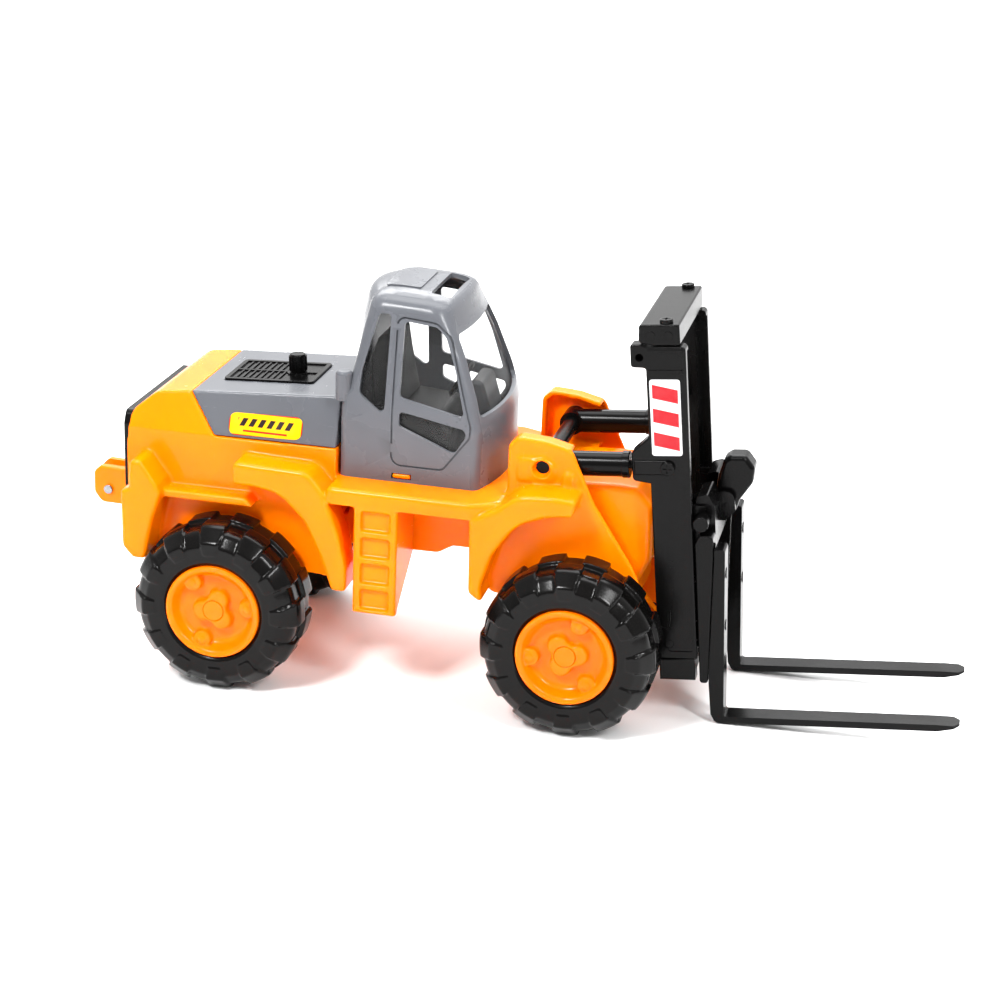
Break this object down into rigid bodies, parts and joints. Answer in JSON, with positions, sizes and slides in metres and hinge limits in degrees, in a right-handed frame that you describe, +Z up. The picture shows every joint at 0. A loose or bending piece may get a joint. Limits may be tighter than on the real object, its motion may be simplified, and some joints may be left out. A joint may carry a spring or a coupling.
{
  "type": "toy forklift",
  "caption": "Toy forklift with a tilting mast, a sliding fork carriage, a glazed cab, lugged wheels that turn and a tow hitch",
  "frame": {"origin": "on the ground, under the middle of the overall length and width", "axes": "+X forward to the fork tips, +Y the driver's left, +Z up"},
  "size_m": [0.6029, 0.212, 0.2686],
  "materials": {
    "body_orange": "glossy moulded",
    "hub_orange": "glossy moulded",
    "cab_grey": "satin moulded",
    "black_plastic": "semi-gloss moulded",
    "interior_black": "fine texture",
    "console_grey": "fine texture",
    "tyre_black": "semi-gloss blow-moulded plastic",
    "clear": "clear moulded plastic",
    "steel": "drawn and plated",
    "sticker_yellow": "printed film",
    "sticker_white": "printed film"
  },
  "bodies": {
    "chassis": {"body_shell": "body_orange", "chassis_frame": "body_orange", "rear_hitch": "body_orange", "hitch_pin": "steel", "rear_grille": "black_plastic", "engine_hood": "cab_grey", "hood_grille": "black_plastic", "hood_knob": "black_plastic", "hood_label_right": "sticker_yellow", "hood_label_left": "sticker_yellow", "cab_shell": "cab_grey", "cab_glazing": "clear", "seat": "interior_black", "steering_console": "console_grey", "steering_wheel": "interior_black", "frame_screws": "steel", "rear_axle": "steel", "front_axle": "steel", "axle_clips": "steel"},
    "mast": {"mast_side_right": "black_plastic", "mast_side_left": "black_plastic", "mast_crossbeam": "black_plastic", "beam_screws": "black_plastic", "mast_foot_bar": "black_plastic", "rack_strip": "black_plastic", "mast_pin": "black_plastic", "rod_bolts": "black_plastic", "hazard_label_right": "sticker_white", "hazard_label_left": "sticker_white"},
    "carriage": {"carriage_frame": "black_plastic", "fork_right": "black_plastic", "fork_left": "black_plastic", "fork_screws": "black_plastic", "lever_pin": "black_plastic"},
    "lever": {"lift_lever": "black_plastic"},
    "tilt_arms": {"cross_tube": "black_plastic", "arm_barrel_right": "black_plastic", "arm_barrel_left": "black_plastic"},
    "tilt_rods": {"arm_rod_right": "black_plastic", "arm_rod_left": "black_plastic"},
    "wheel_front_right": {"tyre_front_right": "tyre_black", "hub_front_right": "hub_orange", "axle_cap_front_right": "hub_orange"},
    "wheel_front_left": {"tyre_front_left": "tyre_black", "hub_front_left": "hub_orange", "axle_cap_front_left": "hub_orange"},
    "wheel_rear_right": {"tyre_rear_right": "tyre_black", "hub_rear_right": "hub_orange", "axle_cap_rear_right": "hub_orange"},
    "wheel_rear_left": {"tyre_rear_left": "tyre_black", "hub_rear_left": "hub_orange", "axle_cap_rear_left": "hub_orange"}
  },
  "joints": [
    {"name": "mast_tilt", "type": "hinge", "parent": "chassis", "child": "mast", "pos_m": [0.112, 0, 0.052], "axis": [0, 1, 0], "range_deg": [0, 9]},
    {"name": "carriage_lift", "type": "slide", "parent": "mast", "child": "carriage", "axis": [-0.1045, 0, 0.9945], "range_m": [0, 0.09]},
    {"name": "lever_press", "type": "hinge", "parent": "carriage", "child": "lever", "pos_m": [0.13803, 0, 0.1392], "axis": [0, 1, 0], "range_deg": [0, 12], "stiffness_Nm_per_rad": 0.6},
    {"name": "arm_swing", "type": "hinge", "parent": "chassis", "child": "tilt_arms", "pos_m": [0.024, 0, 0.1655], "axis": [0, 1, 0], "range_deg": [0, 2]},
    {"name": "rod_slide", "type": "slide", "parent": "tilt_arms", "child": "tilt_rods", "axis": [0.9958, 0, 0.0911], "range_m": [0, 0.02]},
    {"name": "wheel_spin_front_right", "type": "hinge", "parent": "chassis", "child": "wheel_front_right", "pos_m": [0.0532, -0.0855, 0.0575], "axis": [0, 1, 0], "continuous": true},
    {"name": "wheel_spin_front_left", "type": "hinge", "parent": "chassis", "child": "wheel_front_left", "pos_m": [0.0532, 0.0855, 0.0575], "axis": [0, 1, 0], "continuous": true},
    {"name": "wheel_spin_rear_right", "type": "hinge", "parent": "chassis", "child": "wheel_rear_right", "pos_m": [-0.1812, -0.0855, 0.0575], "axis": [0, 1, 0], "continuous": true},
    {"name": "wheel_spin_rear_left", "type": "hinge", "parent": "chassis", "child": "wheel_rear_left", "pos_m": [-0.1812, 0.0855, 0.0575], "axis": [0, 1, 0], "continuous": true}
  ],
  "couplings": [
    {"joint": "arm_swing", "follows": "mast_tilt", "ratio": 0.12012},
    {"joint": "rod_slide", "follows": "mast_tilt", "m_per_rad": 0.12047}
  ]
}
